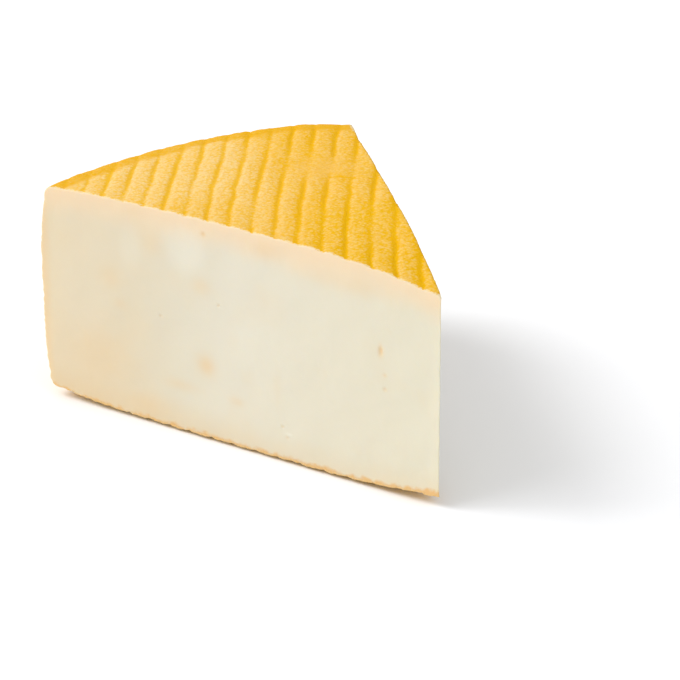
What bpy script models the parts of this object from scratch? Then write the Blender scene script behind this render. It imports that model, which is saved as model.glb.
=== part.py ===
"""A wedge of semi-soft cheese: an eighth of a small wheel, resting on its lower face.

Metres, +Z up. The front cut face looks along -Y, the wheel's centre is the vertical edge at +X and the rim is
at -X. The origin is in the middle of the wedge's box, on the plane that it rests on.

The wheel is turned from its section, its upper and lower faces take the ribs of the cloth that it was pressed
in, and a knife frees the wedge with two flat cuts that meet at the wheel's axis.
"""

import math

import bmesh
import bpy

# The wheel
WHEEL_RADIUS = 0.100
WHEEL_HEIGHT = 0.0489
WEDGE_ANGLE = math.radians(45)

# The upper and lower faces sag towards the wheel's centre and fall away towards the rim
TOP_CREST_RADIUS = 0.050
TOP_CENTRE_SAG = 0.0037
TOP_RIM_FALL = 0.0018
TOP_POWER = 2.7
BOTTOM_INNER_RADIUS = 0.036
BOTTOM_OUTER_RADIUS = 0.080
BOTTOM_CENTRE_LIFT = 0.0024
BOTTOM_CENTRE_POWER = 3.0
BOTTOM_RIM_LIFT = 0.0019
BOTTOM_RIM_POWER = 2.0

# The rim bulges to the wheel's radius and is rounded off above and below
TOP_INSET = 0.0014
BOTTOM_INSET = 0.0008
BULGE_POWER = 2.5
TOP_SHOULDER = 0.0022
BOTTOM_SHOULDER = 0.0036

# The ribs that the pressing cloth leaves run straight across both faces, a little closer together at the rim
RIB_ANGLE = math.radians(32.2)
RIB_PITCH_CENTRE = 0.00505
RIB_PITCH_RIM = 0.00430
RIB_PHASE = -0.093
RIB_DEPTH = 0.00038
RIB_FULLNESS = 3.0
BOTTOM_RIB_DEPTH = 0.00030
BOTTOM_LAND = 0.45

# Where the cloth lay slack, the ribs are pressed almost flat
SLACK_PLACE = (-0.054, 0.039)
SLACK_RADIUS = 0.0065
SLACK_SHARE = 0.75

# How finely the shapes are divided
RIM_STEP = math.radians(1.5)
FACE_STEPS = 24
SHOULDER_STEPS = 6
BULGE_STEPS = 8
RIB_FRACTIONS = (0.0, 0.12, 0.28, 0.5, 0.72, 0.88)
ROW_SPACING = 0.0034
TURNED_ALLOWANCE = 0.0001
CUTTER_MARGIN = 0.010

# The wheel's axis, seen from the middle of the wedge's box
AXIS_X = WHEEL_RADIUS / 2
AXIS_Y = -WHEEL_RADIUS * math.sin(WEDGE_ANGLE) / 2

RIND_COLOUR = (0.91, 0.55, 0.09, 1.0)
RIND_ROUGHNESS = 0.55


def clear_scene():
    for obj in list(bpy.data.objects):
        bpy.data.objects.remove(obj, do_unlink=True)


def collection_named(name, hidden=False):
    collection = bpy.data.collections.new(name)
    collection.hide_render = hidden
    bpy.context.scene.collection.children.link(collection)
    return collection


def object_from_bmesh(name, bm, collection):
    mesh = bpy.data.meshes.new(name)
    bm.to_mesh(mesh)
    bm.free()
    obj = bpy.data.objects.new(name, mesh)
    obj.location = (AXIS_X, AXIS_Y, 0.0)
    collection.objects.link(obj)
    return obj


def top_height(radius):
    """Height of the rib crests on the upper face, at this distance from the wheel's axis."""
    if radius < TOP_CREST_RADIUS:
        return WHEEL_HEIGHT - TOP_CENTRE_SAG * (1 - radius / TOP_CREST_RADIUS) ** TOP_POWER
    outer = (radius - TOP_CREST_RADIUS) / (WHEEL_RADIUS - TOP_CREST_RADIUS)
    return WHEEL_HEIGHT - TOP_RIM_FALL * outer**TOP_POWER


def bottom_height(radius):
    """Height of the flat lands between the grooves on the lower face."""
    if radius < BOTTOM_INNER_RADIUS:
        return BOTTOM_CENTRE_LIFT * (1 - radius / BOTTOM_INNER_RADIUS) ** BOTTOM_CENTRE_POWER
    if radius < BOTTOM_OUTER_RADIUS:
        return 0.0
    outer = (radius - BOTTOM_OUTER_RADIUS) / (WHEEL_RADIUS - BOTTOM_OUTER_RADIUS)
    return BOTTOM_RIM_LIFT * outer**BOTTOM_RIM_POWER


def wheel_section():
    """(radius, height) down the wheel's outer side, from the axis on top to the axis below.

    The faces stand TURNED_ALLOWANCE proud of the pressed ones, which the cloth then gives their height.
    """
    top_end = WHEEL_RADIUS - TOP_INSET - TOP_SHOULDER
    bottom_end = WHEEL_RADIUS - BOTTOM_INSET - BOTTOM_SHOULDER
    top_centre = top_height(top_end) + TURNED_ALLOWANCE - TOP_SHOULDER
    bottom_centre = bottom_height(bottom_end) - TURNED_ALLOWANCE + BOTTOM_SHOULDER
    points = []
    for i in range(FACE_STEPS):
        radius = top_end * i / FACE_STEPS
        points.append((radius, top_height(radius) + TURNED_ALLOWANCE))
    for i in range(SHOULDER_STEPS + 1):
        turn = math.radians(90) * (1 - i / SHOULDER_STEPS)
        points.append((top_end + TOP_SHOULDER * math.cos(turn), top_centre + TOP_SHOULDER * math.sin(turn)))
    for i in range(1, BULGE_STEPS):
        share = i / BULGE_STEPS
        inset = TOP_INSET if share < 0.5 else BOTTOM_INSET
        radius = WHEEL_RADIUS - inset * abs(1 - 2 * share) ** BULGE_POWER
        points.append((radius, top_centre + (bottom_centre - top_centre) * share))
    for i in range(SHOULDER_STEPS + 1):
        turn = -math.radians(90) * i / SHOULDER_STEPS
        points.append(
            (bottom_end + BOTTOM_SHOULDER * math.cos(turn), bottom_centre + BOTTOM_SHOULDER * math.sin(turn))
        )
    for i in range(1, FACE_STEPS + 1):
        radius = bottom_end * (1 - i / FACE_STEPS)
        points.append((radius, bottom_height(radius) - TURNED_ALLOWANCE))
    return points


def add_wheel(collection):
    """The whole wheel, turned about its axis. Half a step of turn keeps the cuts clear of its edges."""
    bm = bmesh.new()
    verts = [bm.verts.new((radius, 0.0, height)) for radius, height in wheel_section()]
    for above, below in zip(verts, verts[1:]):
        bm.edges.new((above, below))
    wheel = object_from_bmesh("cheese_wedge", bm, collection)
    wheel.rotation_euler.z = RIM_STEP / 2
    screw = wheel.modifiers.new("turned", "SCREW")
    screw.axis = "Z"
    screw.angle = math.radians(360)
    screw.steps = round(math.radians(360) / RIM_STEP)
    screw.render_steps = screw.steps
    screw.use_merge_vertices = True
    screw.merge_threshold = 0.00001
    return wheel


def ribs_at(across):
    """How many ribs lie between the phase's groove and this distance across them: whole in a groove."""
    rim_across = -WHEEL_RADIUS * math.cos(RIB_ANGLE)
    centre_rate = 1 / RIB_PITCH_CENTRE
    rate_change = (1 / RIB_PITCH_RIM - centre_rate) / rim_across
    return RIB_PHASE + centre_rate * across + rate_change * across**2 / 2


def across_at(ribs):
    """The distance across the ribs where ribs_at has this value, by Newton's rule."""
    across = ribs * RIB_PITCH_CENTRE
    for _ in range(8):
        slope = (ribs_at(across + 1e-6) - ribs_at(across - 1e-6)) / 2e-6
        across -= (ribs_at(across) - ribs) / slope
    return across


def rib_relief(share, flat):
    """0 in a groove and 1 on a crest, for a share of the way from one groove to the next.

    flat is the middle share of the rib that stays level.
    """
    side = max(0.0, abs(2 * share - 1) - flat) / (1 - flat)
    return 1 - side**RIB_FULLNESS


def slackness(x, y):
    """1 where the cloth pressed the ribs in full, less where it lay slack."""
    away = math.hypot(x - SLACK_PLACE[0], y - SLACK_PLACE[1]) / SLACK_RADIUS
    return 1 - SLACK_SHARE * math.exp(-(away**2))


def add_cloth(name, collection, height_at, closing_height):
    """A closed block whose one face carries the ribs and whose other face lies at closing_height."""
    first = math.floor(ribs_at(-WHEEL_RADIUS * math.cos(RIB_ANGLE))) - 1
    last = math.ceil(ribs_at(0.0)) + 1
    columns = [(across_at(rib + share), share) for rib in range(first, last) for share in RIB_FRACTIONS]
    along_low = -CUTTER_MARGIN
    along_high = WHEEL_RADIUS + CUTTER_MARGIN
    rows = round((along_high - along_low) / ROW_SPACING)
    bm = bmesh.new()
    grid = []
    for across, share in columns:
        line = []
        for i in range(rows + 1):
            along = along_low + (along_high - along_low) * i / rows
            x = across * math.cos(RIB_ANGLE) - along * math.sin(RIB_ANGLE)
            y = across * math.sin(RIB_ANGLE) + along * math.cos(RIB_ANGLE)
            line.append(bm.verts.new((x, y, height_at(x, y, share))))
        grid.append(line)
    faces = []
    for near, far in zip(grid, grid[1:]):
        for i in range(rows):
            faces.append(bm.faces.new((near[i], far[i], far[i + 1], near[i + 1])))
    walls = bmesh.ops.extrude_face_region(bm, geom=faces, use_keep_orig=True)
    for item in walls["geom"]:
        if isinstance(item, bmesh.types.BMVert):
            item.co.z = closing_height
    bmesh.ops.recalc_face_normals(bm, faces=bm.faces)
    return cutter(name, bm, collection)


def cutter(name, bm, collection):
    obj = object_from_bmesh(name, bm, collection)
    obj.hide_render = True
    obj.display_type = "WIRE"
    return obj


def upper_relief(x, y, share):
    end = WHEEL_RADIUS - TOP_INSET - TOP_SHOULDER
    depth = RIB_DEPTH * slackness(x, y)
    return top_height(min(math.hypot(x, y), end)) - depth * (1 - rib_relief(share, 0.0))


def lower_relief(x, y, share):
    end = WHEEL_RADIUS - BOTTOM_INSET - BOTTOM_SHOULDER
    return bottom_height(min(math.hypot(x, y), end)) + BOTTOM_RIB_DEPTH * (1 - rib_relief(share, BOTTOM_LAND))


def add_knife(collection):
    """A three-sided block: its two faces through the wheel's axis are the cuts, the third is clear of the rim."""
    reach = WHEEL_RADIUS / math.cos(WEDGE_ANGLE) + CUTTER_MARGIN
    front = math.radians(180)
    back = front - WEDGE_ANGLE
    bm = bmesh.new()
    corners = [(0.0, 0.0), (reach * math.cos(back), reach * math.sin(back)), (reach * math.cos(front), 0.0)]
    base = bm.faces.new([bm.verts.new((x, y, -CUTTER_MARGIN)) for x, y in corners])
    raised = bmesh.ops.extrude_face_region(bm, geom=[base], use_keep_orig=True)
    for item in raised["geom"]:
        if isinstance(item, bmesh.types.BMVert):
            item.co.z = WHEEL_HEIGHT + CUTTER_MARGIN
    bmesh.ops.recalc_face_normals(bm, faces=bm.faces)
    return cutter("knife", bm, collection)


def keep_inside(obj, shape):
    keep = obj.modifiers.new(shape.name, "BOOLEAN")
    keep.operation = "INTERSECT"
    keep.solver = "EXACT"
    keep.object = shape


def rind_material():
    material = bpy.data.materials.new("cheese")
    material.use_nodes = True
    surface = material.node_tree.nodes["Principled BSDF"]
    surface.inputs["Base Color"].default_value = RIND_COLOUR
    surface.inputs["Roughness"].default_value = RIND_ROUGHNESS
    surface.inputs["Metallic"].default_value = 0.0
    return material


def main():
    clear_scene()
    cheese = collection_named("saint_paulin_wedge")
    cutters = collection_named("cutters", hidden=True)
    wedge = add_wheel(cheese)
    wedge.data.materials.append(rind_material())
    keep_inside(wedge, add_knife(cutters))
    keep_inside(wedge, add_cloth("upper_cloth", cutters, upper_relief, -CUTTER_MARGIN))
    keep_inside(wedge, add_cloth("lower_cloth", cutters, lower_relief, WHEEL_HEIGHT + CUTTER_MARGIN))


main()
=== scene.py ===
"""The wedge of cheese as it looks: one closed skin with a ribbed rind and a smooth paste.

Millimetres from the wheel's axis inside the shape functions, metres in the finished mesh. The front cut face is
the plane y = 0 with the rim towards -x, and the back cut face is WEDGE_ANGLE further round.
"""

import math

import bpy
import numpy as np
from mathutils import Matrix, Vector
from mathutils.geometry import delaunay_2d_cdt


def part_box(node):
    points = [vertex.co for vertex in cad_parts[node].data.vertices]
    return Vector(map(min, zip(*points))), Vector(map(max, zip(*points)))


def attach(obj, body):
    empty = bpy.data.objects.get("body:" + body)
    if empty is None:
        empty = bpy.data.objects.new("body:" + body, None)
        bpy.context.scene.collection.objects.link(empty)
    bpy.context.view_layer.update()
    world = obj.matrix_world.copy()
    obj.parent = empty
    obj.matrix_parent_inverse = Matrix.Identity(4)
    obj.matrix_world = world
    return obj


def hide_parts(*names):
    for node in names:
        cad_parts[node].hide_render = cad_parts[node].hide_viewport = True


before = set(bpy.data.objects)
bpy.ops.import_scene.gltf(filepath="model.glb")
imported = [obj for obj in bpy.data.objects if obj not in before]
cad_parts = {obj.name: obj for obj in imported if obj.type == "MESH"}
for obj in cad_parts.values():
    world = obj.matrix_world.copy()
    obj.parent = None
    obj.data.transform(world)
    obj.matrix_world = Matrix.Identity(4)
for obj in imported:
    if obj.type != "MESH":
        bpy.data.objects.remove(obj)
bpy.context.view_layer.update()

MM = 0.001

# The wheel
RADIUS = 100.0
HEIGHT = 48.9
WEDGE_ANGLE = math.radians(45)
FRONT = math.radians(180)
BACK = FRONT - WEDGE_ANGLE

# The upper and lower faces sag towards the wheel's centre and fall away towards the rim
TOP_CREST_RADIUS = 50.0
TOP_CENTRE_SAG = 3.7
TOP_RIM_FALL = 1.8
TOP_POWER = 2.7
BOTTOM_INNER_RADIUS = 36.0
BOTTOM_OUTER_RADIUS = 80.0
BOTTOM_CENTRE_LIFT = 2.4
BOTTOM_CENTRE_POWER = 3.0
BOTTOM_RIM_LIFT = 1.9
BOTTOM_RIM_POWER = 2.0

# The rim bulges to the wheel's radius and is rounded off above and below
TOP_INSET = 1.4
BOTTOM_INSET = 0.8
BULGE_POWER = 2.5
TOP_SHOULDER = 2.2
BOTTOM_SHOULDER = 3.6
TOP_END = RADIUS - TOP_INSET - TOP_SHOULDER
BOTTOM_END = RADIUS - BOTTOM_INSET - BOTTOM_SHOULDER

# The ribs that the pressing cloth leaves
RIB_ANGLE = math.radians(32.2)
RIB_PITCH_CENTRE = 5.05
RIB_PITCH_RIM = 4.30
RIB_PHASE = -0.093
RIB_SHIFT = 0.10
RIB_BOW = 0.00075
RIB_BOW_PLACE = 38.0
RIB_BOW_ENDS = (5.0, 66.0)
RIB_DEPTH = 0.25
RIB_UNEVENNESS = 0.22
RIM_RIB_SHARE = 0.60
RIM_RIB_FADE = (RADIUS - 10.0, RADIUS - 4.5)
RIB_FULLNESS = 2.7
BOTTOM_RIB_DEPTH = 0.30
BOTTOM_LAND = 0.45
SLACK_PLACE = (-54.0, 39.0)
SLACK_RADIUS = 6.5
SLACK_SHARE = 0.85
# A short fold in the slack place: sunk, and its colour darkened along it as painted shade
CREASE = ((-50.3, 35.7), (-45.6, 37.8))
CREASE_DEPTH = 0.18
CREASE_HALF_WIDTH = 0.5

# How far the surfaces wander from the even shape, and ripples as (size, wavelength, seed)
GROOVE_WANDER = 0.016
GROOVE_RIPPLES = ((1.0, 12.0, 3), (0.35, 3.2, 4))
CREST_WANDER = 0.09
WEAVE_DEPTH = 0.026
WEAVE_ON_CRESTS = 0.7
PEBBLE_DEPTH = 0.022
BOTTOM_WEAR = 0.04
WALL_SINK = 0.05
WALL_RIPPLES = ((0.13, 16.0, 31), (0.07, 4.5, 32), (0.045, 1.5, 33))
WALL_CLOTH = 0.03
PASTE_WAVE = 0.10
PASTE_RIPPLES = ((0.6, 38.0, 41), (0.35, 11.0, 42), (0.10, 3.2, 43))
PASTE_LEVEL_EDGE = 3.0

# How far the upper rind stands higher along the rim, at shares of the way from the back cut to the front
RIM_RISE_AT = (0.0, 0.15, 0.4, 0.6, 0.8, 1.0)
RIM_RISE = (0.0, 0.55, 0.65, 0.45, 0.25, 0.30)
RIM_RISE_RADII = (60.0, 98.0)

# What the knife did: it drew the rind out and down at the back of the rim, and left the rind's edges ragged
SMEAR = 0.95
SMEAR_DROP = 0.45
SMEAR_RADII = (82.0, 97.0)
SMEAR_HEIGHTS = (34.0, 46.0)
SMEAR_REACH = 7.0
SMEARED_BY = 0.7
EDGE_WEAR = 0.06
EDGE_RAGGED = 0.08
TIP_WEAR = 0.20
TIP_WEAR_REACH = 1.2
TIP_EDGE_WEAR = 0.16

# How far the lower rind lifts at the cuts: more towards the rim, and not at the tip
EDGE_LIFT = 0.60
EDGE_LIFT_REACH = 8.0
EDGE_LIFT_MORE = 0.5
EDGE_LIFT_MORE_RADII = (60.0, 88.0)
EDGE_LIFT_TIP_RADII = (1.5, 6.5)

# Spacing of the mesh. The rows of the rim are RIM_ROW apart by its ends and RIM_ROW + RIM_ROW_MORE in the middle.
TOP_SPACING = 0.335
RIM_SPACING = 0.36
RIM_ROW = 0.27
RIM_ROW_MORE = 0.36
RIM_ROW_ENDS = 3.0
RIM_ROW_CHANGE = 5.0
RIM_ROW_LEAST = 0.2
CUT_SPACING = 0.80
BOTTOM_SPACING = 0.85
BOTTOM_EDGE_SPACING = 0.45
TIP_EDGE_SPACING = 0.5
INSET_ROWS = ((0.22, 1), (0.55, 2))
MARK_REACH = 2.4
MARK_SPACING = 0.2
SHOULDER_STEPS = 60
WALL_STEPS = 400
NORMAL_REACH = 0.4
SAME_PLACE = 1e-6

# The darker band of the rind on the shoulder of the rim: radii where it starts, and reaches down the rim
BAND_RADII = (RADIUS - 8.2, RADIUS - 6.4)
BAND_FULL = 3.0
BAND_END = 9.0
BAND_FADE = 0.6

# How far the upper and lower faces' relief reaches down and up the rim
UPPER_REACH = 4.0
LOWER_REACH = 3.5

# How pale the rind is over a rib, from one groove to the next: the grooves' own deeper colour, with a painted
# highlight on the flank after each groove and painted shade on the flank before it
RIB_PALE_AND_PAINTED_LIGHT_AT = (0.0, 0.07, 0.14, 0.25, 0.45, 0.65, 0.78, 0.87, 0.94, 1.0)
RIB_PALE_AND_PAINTED_LIGHT = (0.04, 0.42, 1.0, 0.78, 0.64, 0.56, 0.44, 0.14, 0.0, 0.04)
PALE_MIDDLE = 0.6
MOST_STRENGTH = 1.2
TIP_PALE = 0.3

RIB_ALONG = np.array([-math.sin(RIB_ANGLE), math.cos(RIB_ANGLE), 0.0])
RIB_ACROSS = np.array([math.cos(RIB_ANGLE), math.sin(RIB_ANGLE), 0.0])
UPWARD = np.array([0.0, 0.0, 1.0])
OUT_OF_FRONT = np.array([0.0, -1.0, 0.0])
OUT_OF_BACK = np.array([math.sin(WEDGE_ANGLE), math.cos(WEDGE_ANGLE), 0.0])


def smooth(low, high, values):
    share = np.clip((values - low) / (high - low), 0.0, 1.0)
    return share * share * (3 - 2 * share)


def ripple(points, wavelength, seed, heading=None, spread=1.0, waves=14):
    """An uneven wave with a mean square of 1: many plane waves, about heading where one is given."""
    rng = np.random.default_rng(seed)
    total = np.zeros(len(points))
    for _ in range(waves):
        way = rng.normal(size=3)
        way /= np.linalg.norm(way)
        if heading is not None:
            way = heading * rng.choice((-1, 1)) + spread * way
            way /= np.linalg.norm(way)
        length = wavelength * rng.uniform(0.75, 1.35)
        total += np.cos(points @ way * (2 * math.pi / length) + rng.uniform(0, 2 * math.pi))
    return total * math.sqrt(2 / waves)


def ripples(points, parts):
    """The sum of some ripples, each given as (size, wavelength, seed)."""
    return sum(size * ripple(points, wavelength, seed) for size, wavelength, seed in parts)


def radius_of(points):
    """Distance from the wheel's axis."""
    return np.hypot(points[:, 0], points[:, 1])


def from_back_cut(points):
    """Distance from the plane of the back cut face."""
    return -(points[:, 0] + points[:, 1]) / math.sqrt(2)


def top_height(radius):
    inner = np.clip(1 - radius / TOP_CREST_RADIUS, 0, None)
    outer = np.clip((radius - TOP_CREST_RADIUS) / (RADIUS - TOP_CREST_RADIUS), 0, None)
    return HEIGHT - TOP_CENTRE_SAG * inner**TOP_POWER - TOP_RIM_FALL * outer**TOP_POWER


def bottom_height(radius):
    inner = np.clip(1 - radius / BOTTOM_INNER_RADIUS, 0, None)
    outer = np.clip((radius - BOTTOM_OUTER_RADIUS) / (RADIUS - BOTTOM_OUTER_RADIUS), 0, None)
    return BOTTOM_CENTRE_LIFT * inner**BOTTOM_CENTRE_POWER + BOTTOM_RIM_LIFT * outer**BOTTOM_RIM_POWER


def ribs_at(across):
    """How many ribs lie before this distance across them: whole in a groove."""
    rim_across = -RADIUS * math.cos(RIB_ANGLE)
    centre_rate = 1 / RIB_PITCH_CENTRE
    rate_change = (1 / RIB_PITCH_RIM - centre_rate) / rim_across
    return RIB_PHASE + centre_rate * across + rate_change * across**2 / 2


def rib_share(plan):
    """Share of the way from one groove to the next, with grooves that bow and wander a little."""
    along = np.clip(plan @ RIB_ALONG, *RIB_BOW_ENDS)
    across = plan @ RIB_ACROSS - RIB_SHIFT - RIB_BOW * (along - RIB_BOW_PLACE) ** 2
    ribs = ribs_at(across) + GROOVE_WANDER * ripples(plan, GROOVE_RIPPLES)
    return ribs - np.floor(ribs)


def rib_relief(share, flat):
    """0 in a groove and 1 on a crest. flat is the middle share of the rib that stays level."""
    side = np.clip(np.abs(2 * share - 1) - flat, 0, None) / (1 - flat)
    return 1 - side**RIB_FULLNESS


def slackness(plan):
    """1 where the cloth pressed the ribs in full, less where it lay slack."""
    away = np.hypot(plan[:, 0] - SLACK_PLACE[0], plan[:, 1] - SLACK_PLACE[1]) / SLACK_RADIUS
    return 1 - SLACK_SHARE * np.exp(-(away**2))


def crease(plan):
    """1 along a short fold that the cloth left in the slack place."""
    start, end = np.array(CREASE[0]), np.array(CREASE[1])
    way = end - start
    share = np.clip((plan[:, :2] - start) @ way / (way @ way), 0, 1)
    away = np.linalg.norm(plan[:, :2] - start - share[:, None] * way, axis=1)
    return np.exp(-((away / CREASE_HALF_WIDTH) ** 2))


def flat_plan(points):
    plan = np.array(points, float)
    plan[:, 2] = 0.0
    return plan


def rib_paleness_and_painted_light(share):
    """Deep in and before a groove, palest on the flank after it, and fading over the rib to the next: the groove's
    own deeper colour, with a painted highlight on the flank after it and painted shade on the flank before it.
    """
    return np.interp(share, RIB_PALE_AND_PAINTED_LIGHT_AT, RIB_PALE_AND_PAINTED_LIGHT)


def rim_rise(plan):
    """How much higher the upper rind stands along the rim."""
    turn = (np.arctan2(plan[:, 1], plan[:, 0]) - BACK) / WEDGE_ANGLE
    return smooth(*RIM_RISE_RADII, radius_of(plan)) * np.interp(turn, RIM_RISE_AT, RIM_RISE)


def top_relief(points):
    """(depth below the crests, paleness) of the upper face at these places in plan. The paleness holds painted
    highlight and shade on the ribs' flanks, and painted shade along the crease.
    """
    plan = flat_plan(points)
    radius = radius_of(plan)
    share = rib_share(plan)
    # Squeezed along the ribs, so that a ripple over it is four times as long that way
    squeezed = plan - 0.75 * (plan @ RIB_ALONG)[:, None] * RIB_ALONG
    strength = (1 + RIB_UNEVENNESS * ripple(squeezed, 7.0, 5)) * slackness(plan)
    strength = strength * (1 - (1 - RIM_RIB_SHARE) * smooth(*RIM_RIB_FADE, radius))
    depth = RIB_DEPTH * strength * (1 - rib_relief(share, 0.0))
    depth = depth + CREST_WANDER * (0.6 * ripple(plan, 22.0, 6) + 0.45 * ripple(squeezed, 5.0, 7))
    depth = depth + WEAVE_DEPTH * WEAVE_ON_CRESTS * ripple(plan, 1.35, 8, RIB_ALONG, 0.55) - rim_rise(plan)
    depth = depth + PEBBLE_DEPTH * ripple(plan, 0.95, 9) + TIP_WEAR * np.exp(-((radius / TIP_WEAR_REACH) ** 2))
    depth = depth + CREASE_DEPTH * crease(plan)
    # Paleness over the ribs with its painted highlight and shade, darkened along the crease as painted shade
    pale = PALE_MIDDLE + (rib_paleness_and_painted_light(share) - PALE_MIDDLE) * np.clip(strength, 0, MOST_STRENGTH)
    return depth, pale * (1 - crease(plan))


def bottom_relief(points):
    """(height above the even shape, paleness) of the lower face, which lifts a little towards the cuts. The paleness
    holds painted highlight and shade on the ribs' flanks.
    """
    plan = flat_plan(points)
    from_cut = np.minimum(plan[:, 1], from_back_cut(plan))
    radius = radius_of(plan)
    lift = EDGE_LIFT * (1 + EDGE_LIFT_MORE * smooth(*EDGE_LIFT_MORE_RADII, radius))
    lift = lift * (1 - smooth(0.0, EDGE_LIFT_REACH, from_cut)) * smooth(*EDGE_LIFT_TIP_RADII, radius)
    share = rib_share(plan)
    depth = BOTTOM_RIB_DEPTH * (1 - rib_relief(share, BOTTOM_LAND))
    wear = BOTTOM_WEAR * np.clip(ripple(plan, 1.6, 11, RIB_ALONG, 0.6), 0, None)
    return depth + wear + lift, rib_paleness_and_painted_light(share)


def rim_section():
    """Dense (radius, height) points down the rim, from the end of the upper face to that of the lower one."""
    top_centre = float(top_height(TOP_END)) - TOP_SHOULDER
    bottom_centre = float(bottom_height(BOTTOM_END)) + BOTTOM_SHOULDER
    turn = np.radians(90) * (1 - np.linspace(0, 1, SHOULDER_STEPS))
    upper = np.stack([TOP_END + TOP_SHOULDER * np.cos(turn), top_centre + TOP_SHOULDER * np.sin(turn)], 1)
    share = np.linspace(0, 1, WALL_STEPS)[1:-1]
    inset = np.where(share < 0.5, TOP_INSET, BOTTOM_INSET)
    bulge = RADIUS - inset * np.abs(1 - 2 * share) ** BULGE_POWER
    middle = np.stack([bulge, top_centre + (bottom_centre - top_centre) * share], 1)
    turn = -np.radians(90) * np.linspace(0, 1, SHOULDER_STEPS)
    lower = np.stack([BOTTOM_END + BOTTOM_SHOULDER * np.cos(turn), bottom_centre + BOTTOM_SHOULDER * np.sin(turn)], 1)
    return np.concatenate([upper, middle, lower])


def resampled(line, stations):
    """Points of a line at these distances along it, and its outward normals there."""
    steps = np.linalg.norm(np.diff(line, axis=0), axis=1)
    run = np.concatenate([[0], np.cumsum(steps)])
    places = np.stack([np.interp(stations, run, line[:, i]) for i in (0, 1)], 1)
    ahead = np.stack([np.interp(stations + NORMAL_REACH, run, line[:, i]) for i in (0, 1)], 1)
    behind = np.stack([np.interp(stations - NORMAL_REACH, run, line[:, i]) for i in (0, 1)], 1)
    way = ahead - behind
    way /= np.linalg.norm(way, axis=1)[:, None]
    return places, np.stack([-way[:, 1], way[:, 0]], 1)


class Skin:
    """One closed surface, gathered patch by patch. Patches share the points of the edges where they meet."""

    # pale holds the rind's paleness over the ribs, with painted highlight and shade on their flanks
    LAYERS = ("pale", "band", "from_top", "from_bottom", "from_rim", "stain", "chalk")

    def __init__(self):
        self.points = np.zeros((0, 3))
        self.layers = {name: np.zeros(0) for name in self.LAYERS}
        self.triangles = []
        self.slots = []

    def add(self, points, **layers):
        first = len(self.points)
        self.points = np.concatenate([self.points, points])
        for name in self.LAYERS:
            values = np.broadcast_to(layers.get(name, 0.0), len(points))
            self.layers[name] = np.concatenate([self.layers[name], values])
        return np.arange(first, first + len(points))

    def fill(self, ids, flat, loops, slot, turned):
        """Triangles between points whose places on a flat map are given, inside the closed loop of loops."""
        edges = [(int(a), int(b)) for a, b in zip(loops, np.roll(loops, -1))]
        where = [Vector((float(x), float(y))) for x, y in flat]
        made = delaunay_2d_cdt(where, edges, [], 1, SAME_PLACE)
        source = [group[0] for group in made[3]]
        for a, b, c in made[2]:
            corners = [ids[source[a]], ids[source[b]], ids[source[c]]]
            self.triangles.append(corners[::-1] if turned else corners)
            self.slots.append(slot)

    def strip(self, grid, slot, turned):
        """Triangles over a grid of points, as rows of ids."""
        rows, columns = grid.shape
        for i in range(rows - 1):
            for j in range(columns - 1):
                a, b, c, d = grid[i, j], grid[i + 1, j], grid[i + 1, j + 1], grid[i, j + 1]
                pair = ((a, b, c), (a, c, d)) if (i + j) % 2 else ((a, b, d), (b, c, d))
                for corners in pair:
                    self.triangles.append(list(corners[::-1] if turned else corners))
                    self.slots.append(slot)


def hexagonal(low, high, spacing):
    """Evenly spread points in a box of the flat map."""
    rows = np.arange(low[1], high[1], spacing * math.sqrt(3) / 2)
    columns = np.arange(low[0], high[0], spacing)
    x, y = np.meshgrid(columns, rows)
    x = x + spacing / 2 * (np.arange(len(rows)) % 2)[:, None]
    return np.stack([x.ravel(), y.ravel()], 1)


def depth_inside(points, outline):
    """Distance inside a closed outline, negative outside it."""
    nearest = np.full(len(points), np.inf)
    crossings = np.zeros(len(points), int)
    for (ax, ay), (bx, by) in zip(outline, np.roll(outline, -1, axis=0)):
        dx, dy = bx - ax, by - ay
        px, py = points[:, 0] - ax, points[:, 1] - ay
        share = np.clip((px * dx + py * dy) / (dx * dx + dy * dy), 0, 1)
        nearest = np.minimum(nearest, (px - share * dx) ** 2 + (py - share * dy) ** 2)
        if ay != by:
            level = (ay > points[:, 1]) != (by > points[:, 1])
            crossings += level & (px < py * dx / dy)
    return np.where(crossings % 2 == 1, 1, -1) * np.sqrt(nearest)


def spread_within(outline, spacing, fine_places=()):
    """Points inside an outline: an even spread, and finer ones about some places."""
    found = hexagonal(outline.min(0), outline.max(0), spacing)
    found = found[depth_inside(found, outline) > 0.75 * spacing]
    for x, y, reach, fine in fine_places:
        apart = np.hypot(found[:, 0] - x, found[:, 1] - y)
        found = found[apart > reach]
        centre = np.array([x, y])
        extra = hexagonal(centre - reach, centre + reach, fine)
        extra = extra[np.hypot(*(extra - centre).T) < reach - 0.5 * fine]
        extra = extra[depth_inside(extra, outline) > 0.6 * fine]
        found = np.concatenate([found, extra])
    return found


def inset_row(outline, distance, step):
    """Every step-th point of an outline, moved inwards."""
    ahead = np.roll(outline, -1, axis=0) - np.roll(outline, 1, axis=0)
    ahead /= np.linalg.norm(ahead, axis=1)[:, None]
    inwards = np.stack([-ahead[:, 1], ahead[:, 0]], 1)
    moved = (outline + distance * inwards)[::step]
    return moved[depth_inside(moved, outline) > 0.8 * distance]


skin = Skin()
RIND, PASTE = 0, 1


def on_ray(angle, distance):
    return np.stack([distance * math.cos(angle), distance * math.sin(angle), np.zeros(len(distance))], 1)


def paste_depths(points):
    radius = radius_of(points)
    return {
        "from_top": top_height(radius) - points[:, 2],
        "from_bottom": points[:, 2] - bottom_height(radius),
        "from_rim": RADIUS - radius,
    }


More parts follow.
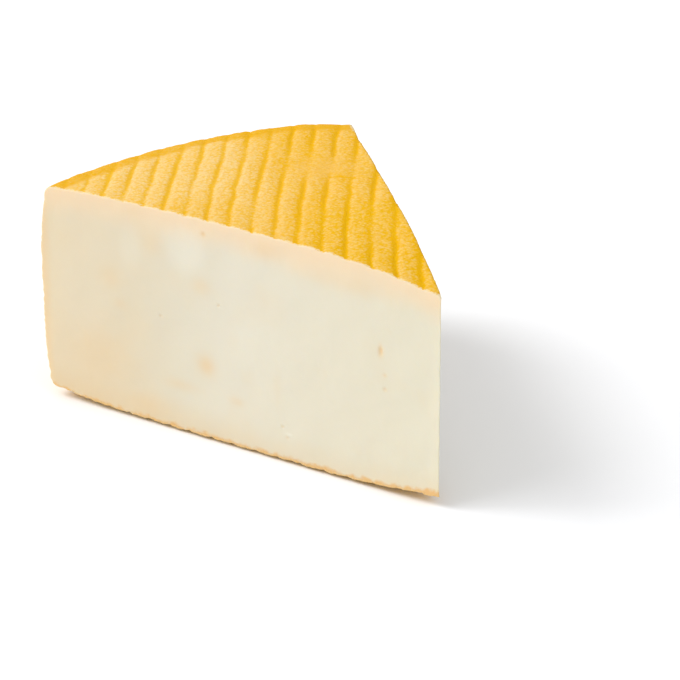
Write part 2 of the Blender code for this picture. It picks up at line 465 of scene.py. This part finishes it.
def face_edge(angle, end, spacing, height_at, relief, sign):
    """The edge of a cut face with the upper or lower rind, from beside the axis to beside the rim."""
    count = round(end / spacing)
    places = on_ray(angle, end * np.arange(1, count) / count)
    # pale includes the painted highlight and shade over the ribs
    depth, pale = relief(places)
    radius = radius_of(places)
    ragged = EDGE_RAGGED * (0.6 * ripple(places, 1.1, 22) + np.clip(ripple(places, 3.5, 23) - 0.8, 0, None))
    places[:, 2] = height_at(radius) - sign * (depth + EDGE_WEAR + ragged)
    return skin.add(places, pale=pale, band=rim_band(places), **paste_depths(places))


def rim_band(points):
    radius = radius_of(points) + 0.35 * ripple(flat_plan(points), 4.0, 24)
    return smooth(*BAND_RADII, radius)


def build_edges():
    """The points along which the patches meet."""
    edges = {}
    for name, height_at, relief, sign, end, spacing in (
        ("top", top_height, top_relief, 1, TOP_END, TOP_SPACING),
        ("bottom", bottom_height, bottom_relief, -1, BOTTOM_END, BOTTOM_EDGE_SPACING),
    ):
        for side, angle in (("front", FRONT), ("back", BACK)):
            edges[name, side] = face_edge(angle, end, spacing, height_at, relief, sign)
        tip = np.zeros((1, 3))
        tip[:, 2] = height_at(0.0) - sign * (relief(tip)[0] + EDGE_WEAR)
        edges[name, "tip"] = skin.add(tip, pale=TIP_PALE)
    low = float(skin.points[edges["bottom", "tip"][0], 2])
    high = float(skin.points[edges["top", "tip"][0], 2])
    rows = np.linspace(low, high, round((high - low) / TIP_EDGE_SPACING) + 1)[1:-1]
    tip = np.zeros((len(rows), 3))
    tip[:, 2] = rows
    worn = TIP_EDGE_WEAR + 0.05 * ripple(tip, 6.0, 21)
    tip[:, 0] = -worn * math.cos(WEDGE_ANGLE / 2)
    tip[:, 1] = worn * math.sin(WEDGE_ANGLE / 2)
    edges["tip"] = skin.add(tip, **paste_depths(tip))
    return edges


def round_the_axis(place, angles):
    """A (radius, height) pair turned to each of these angles."""
    radius, height = place
    return np.stack([radius * np.cos(angles), radius * np.sin(angles), np.full(len(angles), height)], 1)


def build_rim():
    """The rim as a grid of points, whose first and last rows and columns are edges of the other patches."""
    line = rim_section()
    run = np.linalg.norm(np.diff(line, axis=0), axis=1).sum()
    stations = [0.0]
    while stations[-1] < run - RIM_ROW_LEAST:
        from_end = min(stations[-1], run - stations[-1])
        more = RIM_ROW_MORE * min(1.0, max(0.0, from_end - RIM_ROW_ENDS) / RIM_ROW_CHANGE)
        stations.append(stations[-1] + RIM_ROW + more)
    stations = np.array(stations) * run / stations[-1]
    places, normals = resampled(line, stations)
    columns = round(WEDGE_ANGLE * RADIUS / RIM_SPACING)
    angles = np.linspace(FRONT, BACK, columns + 1)
    grid = np.zeros((len(stations), len(angles)), int)
    for i, station in enumerate(stations):
        here = round_the_axis(places[i], angles)
        outward = round_the_axis(normals[i], angles)
        upper, upper_pale_and_painted_light = top_relief(here)
        lower, lower_pale_and_painted_light = bottom_relief(here)
        upper_share = float(1 - smooth(0.0, UPPER_REACH, station))
        lower_share = float(1 - smooth(0.0, LOWER_REACH, run - station))
        wall = 1 - max(upper_share, lower_share)
        cloth = ripples(here, WALL_RIPPLES) + WALL_CLOTH * ripple(here, 1.9, 34, UPWARD, 0.4)
        inwards = upper * upper_share + lower * lower_share + wall * (cloth + WALL_SINK)
        worn = np.zeros(len(angles))
        worn[[0, -1]] = EDGE_WEAR
        here = here - outward * (inwards + worn)[:, None]
        # Paleness of the upper and lower ribs, with their painted highlight and shade, giving way to an even middle
        # down the wall
        pale = upper_pale_and_painted_light * upper_share + lower_pale_and_painted_light * lower_share + wall * PALE_MIDDLE
        band = float(1 - BAND_FADE * smooth(BAND_FULL, BAND_END, station))
        grid[i] = skin.add(here, pale=pale, band=band, **paste_depths(here))
    skin.strip(grid, RIND, turned=True)
    return grid


def build_face(name, edges, ring, height_at, relief, sign, spacing, turned):
    """The upper or lower rind: its outline runs out along the back cut, round the rim and in along the front."""
    loop = np.concatenate([edges[name, "tip"], edges[name, "back"], ring[::-1], edges[name, "front"][::-1]])
    outline = skin.points[loop][:, :2]
    inner = spread_within(outline, spacing)
    places = np.concatenate([inner, np.zeros((len(inner), 1))], axis=1)
    # pale includes the painted highlight and shade over the ribs
    depth, pale = relief(places)
    radius = radius_of(places)
    places[:, 2] = height_at(radius) - sign * depth
    ids = np.concatenate([loop, skin.add(places, pale=pale, band=rim_band(places))])
    skin.fill(ids, skin.points[ids][:, :2], np.arange(len(loop)), RIND, turned)


# Marks on the front cut face: distance from the tip, height, half width, half height, depth, stain, chalk
PASTE_MARKS = (
    (14.0, 30.5, 0.50, 1.00, 0.16, 0.80, 0.0),
    (13.0, 25.5, 0.45, 0.40, 0.05, 0.35, 0.0),
    (13.0, 22.5, 0.45, 0.40, 0.10, 0.40, 0.0),
    (53.5, 31.0, 0.40, 0.30, 0.14, 0.30, 0.0),
    (68.5, 25.2, 0.35, 0.35, 0.14, 0.30, 0.0),
    (57.0, 45.8, 0.50, 0.45, 0.06, 0.80, 0.0),
    (57.5, 1.6, 0.50, 0.40, 0.10, 0.60, 0.0),
    (36.2, 6.6, 0.90, 0.40, -0.06, 0.0, 0.45),
    (37.8, 8.0, 0.35, 0.30, 0.12, 0.30, 0.0),
    (36.6, 5.8, 0.40, 0.30, 0.10, 0.30, 0.0),
)

# Soft colour spots on the front cut face: distance from the tip, height, half width, half height, stain
PASTE_SPOTS = (
    (57.0, 16.8, 1.9, 1.9, 0.60),
    (49.3, 10.6, 1.6, 0.9, 0.34),
    (57.8, 34.3, 2.4, 1.8, 0.30),
    (70.5, 41.0, 3.0, 2.4, 0.28),
    (81.5, 31.0, 2.6, 2.4, 0.28),
    (79.0, 25.5, 1.6, 1.2, 0.22),
    (86.0, 11.0, 9.0, 6.5, 0.34),
    (73.0, 4.5, 5.0, 2.6, 0.34),
    (39.0, 16.5, 0.9, 3.0, 0.12),
    (64.0, 10.8, 4.0, 1.1, 0.26),
    (42.0, 45.5, 3.4, 1.6, 0.30),
    (24.0, 43.0, 9.0, 2.0, 0.20),
)

# Whiter places on the front cut face: distance from the tip, height, half width, half height, chalk
PALE_SPOTS = ((62.0, 41.5, 5.0, 5.0, 0.30), (76.0, 39.0, 3.0, 5.0, 0.16), (47.0, 26.0, 9.0, 8.0, 0.10))

# The same for the back cut face, which the photo doesn't show
BACK_MARKS = ((31.0, 27.0, 0.5, 0.9, 0.4, 0.7, 0.0), (66.0, 18.0, 0.4, 0.4, 0.3, 0.5, 0.0))
BACK_SPOTS = ((46.0, 33.0, 2.4, 2.2, 0.18), (73.0, 24.0, 2.2, 2.6, 0.16), (54.0, 10.0, 1.6, 1.4, 0.36))


def cut_face(side, angle, edges, column, turned, marks, spots, pale_spots=()):
    """A cut face on the flat map (distance from the axis, height), laid out counter-clockwise."""
    loop = np.concatenate(
        [
            edges["bottom", "tip"],
            edges["bottom", side],
            column[::-1],
            edges["top", side][::-1],
            edges["top", "tip"],
            edges["tip"][::-1],
        ]
    )
    way = np.array([math.cos(angle), math.sin(angle)])
    at = skin.points[loop]
    outline = np.stack([at[:, :2] @ way, at[:, 2]], 1)
    fine_places = [(s, z, MARK_REACH * max(w, h), MARK_SPACING) for s, z, w, h, *_ in marks]
    inner = spread_within(outline, CUT_SPACING, fine_places)
    inner = np.concatenate([*(inset_row(outline, distance, step) for distance, step in INSET_ROWS), inner])
    s, z = inner[:, 0], inner[:, 1]
    places = np.stack([s * way[0], s * way[1], z], 1)
    level_edge = smooth(0.0, PASTE_LEVEL_EDGE, depth_inside(inner, outline))
    sunk = PASTE_WAVE * ripples(places, PASTE_RIPPLES) * level_edge
    stain = np.zeros(len(s))
    chalk = np.zeros(len(s))
    for ms, mz, w, h, depth, dark, light in marks:
        apart = ((s - ms) / w) ** 2 + ((z - mz) / h) ** 2
        sunk = sunk + depth * np.exp(-(apart**1.5))
        stain = np.maximum(stain, dark * np.exp(-0.7 * apart))
        chalk = np.maximum(chalk, light * np.exp(-0.8 * apart))
    for ms, mz, w, h, dark in spots:
        apart = ((s - ms) / w) ** 2 + ((z - mz) / h) ** 2
        stain = np.maximum(stain, dark * np.exp(-0.8 * apart))
    for ms, mz, w, h, light in pale_spots:
        apart = ((s - ms) / w) ** 2 + ((z - mz) / h) ** 2
        chalk = np.maximum(chalk, light * np.exp(-(apart**2)))
    outward = OUT_OF_FRONT if side == "front" else OUT_OF_BACK
    added = skin.add(places - sunk[:, None] * outward, stain=stain, chalk=chalk, **paste_depths(places))
    ids = np.concatenate([loop, added])
    skin.fill(ids, np.concatenate([outline, inner]), np.arange(len(loop)), PASTE, turned)


def smear(points):
    """The knife drew the rind out a little where it left the rim at the back."""
    share = smooth(*SMEAR_RADII, radius_of(points)) * smooth(*SMEAR_HEIGHTS, points[:, 2])
    share = share * (1 - smooth(0.0, SMEAR_REACH, from_back_cut(points)))
    return points + SMEAR * share[:, None] * (OUT_OF_BACK - SMEAR_DROP * UPWARD)


edges = build_edges()
rim = build_rim()
build_face("top", edges, rim[0], top_height, top_relief, 1, TOP_SPACING, False)
build_face("bottom", edges, rim[-1], bottom_height, bottom_relief, -1, BOTTOM_SPACING, True)
cut_face("front", FRONT, edges, rim[:, 0], True, PASTE_MARKS, PASTE_SPOTS, PALE_SPOTS)
cut_face("back", BACK, edges, rim[:, -1], False, BACK_MARKS, BACK_SPOTS)
skin.points = smear(skin.points)


def to_linear(red, green, blue):
    """Scene-linear colour of a display colour from 0 to 255."""
    values = []
    for value in (red, green, blue):
        share = value / 255
        values.append(share / 12.92 if share <= 0.04045 else ((share + 0.055) / 1.055) ** 2.4)
    return (*values, 1.0)


# Display colours of the rind, from 0 to 255. The first two, of grooves and of ribs, change with the bloom.
RIND_DEEP = ((0.0, (223, 170, 0)), (0.5, (225, 169, 10)), (1.0, (228, 175, 40)))
RIND_PALE = ((0.0, (229, 189, 98)), (0.5, (229, 188, 104)), (1.0, (231, 197, 130)))
RIND_BAND = (222, 165, 20)
RIND_SLACK = (228, 179, 84)
RIND_TIP = (219, 212, 190)
RIND_FRINGE = (229, 207, 160)

# Display colours of the paste: by the distance from the axis in millimetres, and near the other surfaces
PASTE_BY_RADIUS = (
    (0.0, (219, 213, 190)),
    (12.0, (219, 212, 189)),
    (50.0, (218, 211, 191)),
    (62.0, (216, 208, 186)),
    (76.0, (215, 203, 176)),
    (92.0, (218, 204, 175)),
    (100.0, (220, 203, 169)),
)
PASTE_BY_TOP = (235, 206, 166)
PASTE_BY_BOTTOM = (217, 191, 147)
PASTE_LINE = (220, 172, 98)
PASTE_BY_RIM = (223, 195, 150)
PASTE_BLOTCH = (224, 199, 156)
PASTE_STAIN = (224, 190, 138)
PASTE_CHALK = (228, 225, 210)

# Noise cells a metre
WEAVE_CELLS = 1200.0
SPECK_CELLS = 1900.0
DOT_CELLS = 1350.0
BLOTCH_CELLS = 90.0
PASTE_CLOUD_CELLS = 45.0
PASTE_BLOTCH_CELLS = 95.0
PASTE_GRAIN_CELLS = 420.0
PASTE_FINE_CELLS = 700.0


class Shader:
    """A material's node tree, built by short calls."""

    def __init__(self, name):
        self.material = bpy.data.materials.new(name)
        self.material.use_nodes = True
        self.tree = self.material.node_tree
        self.surface = self.tree.nodes["Principled BSDF"]

    def node(self, kind, **settings):
        made = self.tree.nodes.new(kind)
        for name, value in settings.items():
            setattr(made, name, value)
        return made

    def link(self, source, target):
        self.tree.links.new(source, target)

    def layer(self, name):
        return self.node("ShaderNodeAttribute", attribute_name=name).outputs["Fac"]

    def ramp(self, source, stops):
        """Colours along a value: stops are (value, display colour)."""
        made = self.node("ShaderNodeValToRGB")
        low, high = stops[0][0], stops[-1][0]
        spread = self.node("ShaderNodeMapRange")
        spread.inputs["From Min"].default_value = low
        spread.inputs["From Max"].default_value = high
        self.link(source, spread.inputs["Value"])
        self.link(spread.outputs["Result"], made.inputs["Fac"])
        line = made.color_ramp
        for value, _ in stops[1:-1]:
            line.elements.new((value - low) / (high - low))
        for stop, (_, colour) in zip(line.elements, stops):
            stop.color = to_linear(*colour)
        return made.outputs["Color"]

    def mix(self, share, first, second):
        made = self.node("ShaderNodeMix", data_type="RGBA")
        self.link(share, made.inputs["Factor"])
        for source, target in ((first, made.inputs["A"]), (second, made.inputs["B"])):
            if isinstance(source, tuple):
                target.default_value = source
            else:
                self.link(source, target)
        return made.outputs["Result"]

    def between(self, source, low, high, first=0.0, second=1.0, curve="LINEAR"):
        made = self.node("ShaderNodeMapRange", interpolation_type=curve)
        made.inputs["From Min"].default_value = low
        made.inputs["From Max"].default_value = high
        made.inputs["To Min"].default_value = first
        made.inputs["To Max"].default_value = second
        self.link(source, made.inputs["Value"])
        return made.outputs["Result"]

    def maths(self, operation, first, second):
        made = self.node("ShaderNodeMath", operation=operation)
        for source, target in ((first, made.inputs[0]), (second, made.inputs[1])):
            if isinstance(source, (int, float)):
                target.default_value = source
            else:
                self.link(source, target)
        return made.outputs["Value"]

    def total(self, *values):
        made = values[0]
        for value in values[1:]:
            made = self.maths("ADD", made, value)
        return made

    def noise(self, scale, detail=2.0, stretch=(1.0, 1.0, 1.0), turn=0.0, roughness=0.5):
        """Noise over the piece's own coordinates. scale is in cells a metre."""
        where = self.node("ShaderNodeTexCoord").outputs["Object"]
        turned = self.node("ShaderNodeMapping")
        turned.inputs["Rotation"].default_value = (0.0, 0.0, turn)
        self.link(where, turned.inputs["Vector"])
        squeezed = self.node("ShaderNodeMapping")
        squeezed.inputs["Scale"].default_value = stretch
        self.link(turned.outputs["Vector"], squeezed.inputs["Vector"])
        made = self.node("ShaderNodeTexNoise")
        made.inputs["Scale"].default_value = scale
        made.inputs["Detail"].default_value = detail
        made.inputs["Roughness"].default_value = roughness
        self.link(squeezed.outputs["Vector"], made.inputs["Vector"])
        return made.outputs["Fac"]

    def dots(self, scale):
        """Distance to the nearest of many scattered points, in cells. scale is in cells a metre."""
        made = self.node("ShaderNodeTexVoronoi")
        made.inputs["Scale"].default_value = scale
        self.link(self.node("ShaderNodeTexCoord").outputs["Object"], made.inputs["Vector"])
        return made.outputs["Distance"]

    def bump(self, height, distance, strength, under=None):
        made = self.node("ShaderNodeBump")
        made.inputs["Distance"].default_value = distance
        made.inputs["Strength"].default_value = strength
        self.link(height, made.inputs["Height"])
        if under is not None:
            self.link(under, made.inputs["Normal"])
        return made.outputs["Normal"]


def rind_material():
    shader = Shader("rind")
    bloom = shader.layer("bloom")
    deep = shader.ramp(bloom, RIND_DEEP)
    pale = shader.ramp(bloom, RIND_PALE)
    weave = shader.noise(WEAVE_CELLS, 2.0, (1.0, 0.85, 1.0), -RIB_ANGLE, 0.5)
    speck = shader.noise(SPECK_CELLS, 2.0, (1.0, 0.85, 1.0), -RIB_ANGLE, 0.55)
    blotch = shader.noise(BLOTCH_CELLS, 3.0, (1.0, 0.6, 1.0), -RIB_ANGLE, 0.55)
    # The rib layer is paleness over the ribs: the grooves' own deeper colour with painted highlight and shade on the
    # flanks
    rib = shader.layer("pale")

    # How pale the rind is: by the rib layer, which paints a highlight on each flank after a groove and shade on the
    # flank before it, by the bloom, the weave, small pale dots and broad blotches, and less in and before a groove,
    # partly its own deeper colour and partly painted shade
    share = shader.total(
        shader.between(rib, 0.0, 1.0, -0.30, 0.42),
        shader.between(bloom, 0.0, 1.0, 0.14, 0.46),
        shader.between(weave, 0.37, 0.63, -0.22, 0.24),
        shader.between(shader.dots(DOT_CELLS), 0.22, 0.62, 0.42, -0.18),
        shader.between(blotch, 0.3, 0.7, 0.12, -0.12),
    )
    share = shader.maths("MULTIPLY", share, shader.between(rib, 0.0, 0.42, 0.12, 1.0))
    colour = shader.mix(shader.between(share, 0.0, 1.0), deep, pale)
    band = shader.maths("MULTIPLY", shader.layer("band"), shader.between(weave, 0.3, 0.7, 1.0, 0.7))
    colour = shader.mix(band, colour, to_linear(*RIND_BAND))
    colour = shader.mix(shader.layer("slack"), colour, to_linear(*RIND_SLACK))

    # Worn through to the paste at the very tip, and a pale fringe beside the cuts
    from_tip = shader.total(shader.layer("radius"), shader.between(speck, 0.3, 0.7, -0.5, 0.5))
    colour = shader.mix(shader.between(from_tip, 0.7, 1.5, 1.0, 0.0), colour, to_linear(*RIND_TIP))
    from_cut = shader.total(shader.layer("from_cut"), shader.between(speck, 0.35, 0.65, -0.32, 0.32))
    colour = shader.mix(shader.between(from_cut, 0.18, 0.48, 0.85, 0.0), colour, to_linear(*RIND_FRINGE))
    shader.link(colour, shader.surface.inputs["Base Color"])
    shader.link(shader.between(weave, 0.3, 0.7, 0.62, 0.76), shader.surface.inputs["Roughness"])
    relief = shader.bump(weave, 0.0004, 0.26)
    relief = shader.bump(speck, 0.00025, 0.55, relief)
    shader.link(relief, shader.surface.inputs["Normal"])
    shader.surface.inputs["Specular IOR Level"].default_value = 0.03
    shader.surface.inputs["Subsurface Weight"].default_value = 0.10
    shader.surface.inputs["Subsurface Radius"].default_value = (1.0, 0.55, 0.2)
    shader.surface.inputs["Subsurface Scale"].default_value = 0.0008
    return shader.material


def paste_material():
    shader = Shader("paste")
    across = shader.ramp(shader.layer("radius"), PASTE_BY_RADIUS)
    cloud = shader.noise(PASTE_CLOUD_CELLS, 3.0, roughness=0.55)
    from_top = shader.total(shader.layer("from_top"), shader.between(cloud, 0.25, 0.75, -1.2, 1.2))
    from_bottom = shader.total(shader.layer("from_bottom"), shader.between(cloud, 0.25, 0.75, -1.6, 1.6))
    top_share = shader.between(from_top, 0.6, 8.0, 0.72, 0.0, "SMOOTHSTEP")
    colour = shader.mix(top_share, across, to_linear(*PASTE_BY_TOP))
    rim_side = shader.between(shader.layer("radius"), 35.0, 95.0, 0.45, 1.0)
    low_share = shader.between(from_bottom, 0.5, 8.0, 0.6, 0.0, "SMOOTHSTEP")
    colour = shader.mix(shader.maths("MULTIPLY", low_share, rim_side), colour, to_linear(*PASTE_BY_BOTTOM))

    # The lower rind's thin line
    grain = shader.noise(PASTE_GRAIN_CELLS, 3.0, roughness=0.6)
    line_place = shader.total(shader.layer("from_bottom"), shader.between(grain, 0.3, 0.7, -0.5, 0.5))
    line_share = shader.between(line_place, 0.9, 2.0, 0.85, 0.0, "SMOOTHSTEP")
    colour = shader.mix(line_share, colour, to_linear(*PASTE_LINE))
    rim_share = shader.between(shader.layer("from_rim"), 0.2, 3.2, 0.75, 0.0, "SMOOTHSTEP")
    colour = shader.mix(rim_share, colour, to_linear(*PASTE_BY_RIM))
    blotch = shader.noise(PASTE_BLOTCH_CELLS)
    colour = shader.mix(shader.between(blotch, 0.55, 0.75, 0.0, 0.16), colour, to_linear(*PASTE_BLOTCH))
    colour = shader.mix(shader.layer("stain"), colour, to_linear(*PASTE_STAIN))
    colour = shader.mix(shader.layer("chalk"), colour, to_linear(*PASTE_CHALK))
    shader.link(colour, shader.surface.inputs["Base Color"])
    fine = shader.noise(PASTE_FINE_CELLS, 3.0, (1.0, 1.0, 0.7), 0.0, 0.6)
    shader.link(shader.between(fine, 0.3, 0.7, 0.42, 0.56), shader.surface.inputs["Roughness"])
    shader.link(shader.bump(fine, 0.00025, 0.25), shader.surface.inputs["Normal"])
    shader.surface.inputs["Subsurface Weight"].default_value = 0.25
    shader.surface.inputs["Subsurface Radius"].default_value = (1.0, 0.75, 0.45)
    shader.surface.inputs["Subsurface Scale"].default_value = 0.002
    return shader.material


def pale_bloom(points):
    """How pale the rind is: most by the front of the rim, least at the tip and along the back cut."""
    from_back = from_back_cut(points)
    paleness = 0.12 + 0.62 * smooth(5.0, 85.0, radius_of(points)) * (0.45 + 0.55 * smooth(2.0, 30.0, from_back))
    paleness = paleness + 0.30 * smooth(4.0, 45.0, from_back)
    return paleness + 0.10 * ripple(flat_plan(points), 26.0, 51)


def build_piece():
    """The skin as one mesh in the row's frame, with its layers as attributes."""
    low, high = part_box("cheese_wedge")
    axis = np.array([high.x, low.y, 0.0])
    mesh = bpy.data.meshes.new("cheese")
    faces = np.array(skin.triangles, dtype=np.int32)
    mesh.from_pydata((skin.points * MM + axis).tolist(), [], faces.tolist())
    mesh.materials.append(rind_material())
    mesh.materials.append(paste_material())
    mesh.polygons.foreach_set("material_index", np.array(skin.slots, dtype=np.int32))
    mesh.polygons.foreach_set("use_smooth", np.ones(len(faces), dtype=bool))
    # The slack place's own colour, taken away along the crease so that the deep colour there paints shade in the fold
    slack = 0.6 * (1 - slackness(skin.points)) * (1 - crease(skin.points))
    extra = {
        "radius": radius_of(skin.points),
        "bloom": pale_bloom(skin.points),
        "slack": slack * smooth(HEIGHT - 6, HEIGHT - 4, skin.points[:, 2]),
        "from_cut": np.minimum(skin.points[:, 1], SMEARED_BY + from_back_cut(skin.points)),
    }
    for name, values in {**skin.layers, **extra}.items():
        layer = mesh.attributes.new(name, "FLOAT", "POINT")
        layer.data.foreach_set("value", np.ascontiguousarray(values, dtype=np.float32))
    mesh.update()
    piece = bpy.data.objects.new("cheese", mesh)
    bpy.context.scene.collection.objects.link(piece)
    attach(piece, "root")
    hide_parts("cheese_wedge")
    return piece


cheese = build_piece()

# The floor is white, and so is the soft light from all round
FLOOR_SIZE = 5.0
FLOOR_GAP = 0.00002
FLOOR_COLOUR = (0.912, 0.918, 0.935, 1.0)
SKY_STRENGTH = 0.81
SUN_ANGLE = math.radians(32)

# Two broad lights from the left: strength, how far round from -X towards -Y, and height
SUNS = ((1.25, math.radians(20), math.radians(40)), (0.68, math.radians(50), math.radians(50)))


def add_floor():
    half = FLOOR_SIZE / 2
    mesh = bpy.data.meshes.new("floor")
    corners = [(-half, -half, 0.0), (half, -half, 0.0), (half, half, 0.0), (-half, half, 0.0)]
    mesh.from_pydata(corners, [], [(0, 1, 2, 3)])
    shader = Shader("floor")
    shader.surface.inputs["Base Color"].default_value = FLOOR_COLOUR
    shader.surface.inputs["Roughness"].default_value = 0.9
    shader.surface.inputs["Specular IOR Level"].default_value = 0.0
    mesh.materials.append(shader.material)
    floor = bpy.data.objects.new("floor", mesh)
    floor.location.z = float(skin.points[:, 2].min()) * MM - FLOOR_GAP
    bpy.context.scene.collection.objects.link(floor)


def add_light():
    scene = bpy.context.scene
    world = bpy.data.worlds.new("white")
    world.use_nodes = True
    sky = world.node_tree.nodes["Background"]
    sky.inputs["Color"].default_value = (1.0, 1.0, 1.0, 1.0)
    sky.inputs["Strength"].default_value = SKY_STRENGTH
    scene.world = world
    for strength, round_by, height in SUNS:
        data = bpy.data.lights.new("sun", "SUN")
        data.energy = strength
        data.angle = SUN_ANGLE
        sun = bpy.data.objects.new("sun", data)
        level = math.cos(height)
        place = Vector((-level * math.cos(round_by), -level * math.sin(round_by), math.sin(height)))
        sun.rotation_euler = place.to_track_quat("Z", "Y").to_euler()
        scene.collection.objects.link(sun)
    scene.view_settings.view_transform = "Standard"
    scene.view_settings.look = "None"


# The camera stands where the photo was taken from
CAMERA_PLACE = Vector((0.33621, -0.48664, 0.26627))
CAMERA_RIGHT = Vector((0.82521, 0.56481, -0.00347))
CAMERA_UP = Vector((-0.22073, 0.32814, 0.91848))
CAMERA_LENS = 159.54


def add_camera():
    data = bpy.data.cameras.new("camera")
    data.lens = CAMERA_LENS
    data.sensor_width = 36.0
    data.clip_start = 0.01
    camera = bpy.data.objects.new("camera", data)
    back = CAMERA_RIGHT.cross(CAMERA_UP)
    turn = Matrix((CAMERA_RIGHT, CAMERA_UP, back)).transposed().to_4x4()
    camera.matrix_world = Matrix.Translation(CAMERA_PLACE) @ turn
    bpy.context.scene.collection.objects.link(camera)
    bpy.context.scene.camera = camera


add_floor()
add_light()
add_camera()

bpy.context.view_layer.update()
